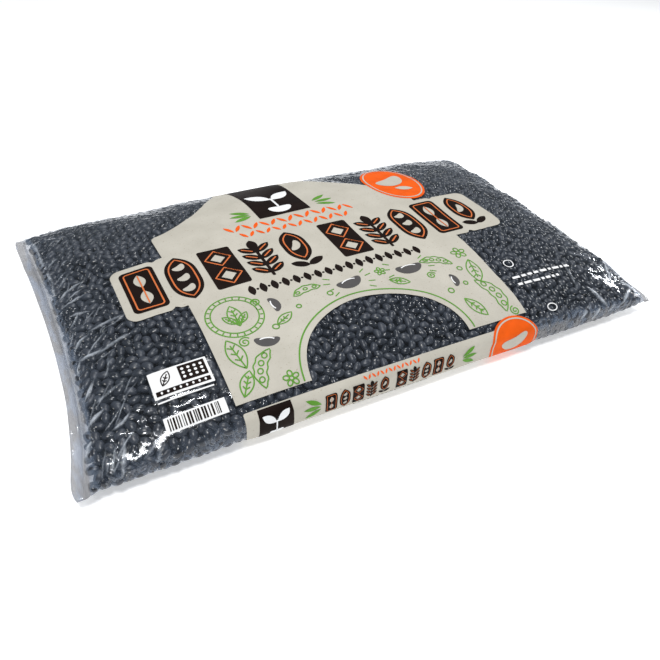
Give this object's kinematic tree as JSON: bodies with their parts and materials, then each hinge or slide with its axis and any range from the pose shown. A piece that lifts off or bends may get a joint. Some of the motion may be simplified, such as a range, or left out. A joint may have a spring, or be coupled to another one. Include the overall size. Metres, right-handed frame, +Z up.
{
  "type": "bag of dried beans",
  "caption": "Large clear film pillow bag of small black dried beans, lying flat, with a printed panel on top, a printed strip down the near side and sealed film ends.",
  "frame": {"origin": "on the floor under the middle of the bag", "axes": "+X along the bag from one end seal to the other, +Y towards the long side away from the printed side strip, +Z up through the printed panel"},
  "size_m": [0.5262, 0.328, 0.0596],
  "materials": {
    "film_and_beans": "clear glossy film drawn over small dark blue-black beans",
    "clear_film": "clear glossy film with fine creases",
    "beans": "satin skin of dried black beans",
    "print_cream": "cream ink with fine fibre specks",
    "print_black": "black ink",
    "print_orange": "orange ink",
    "print_green": "green ink",
    "print_grey": "grey ink",
    "print_white": "white ink"
  },
  "bodies": {
    "root": {"bag": "film_and_beans"}
  },
  "joints": []
}
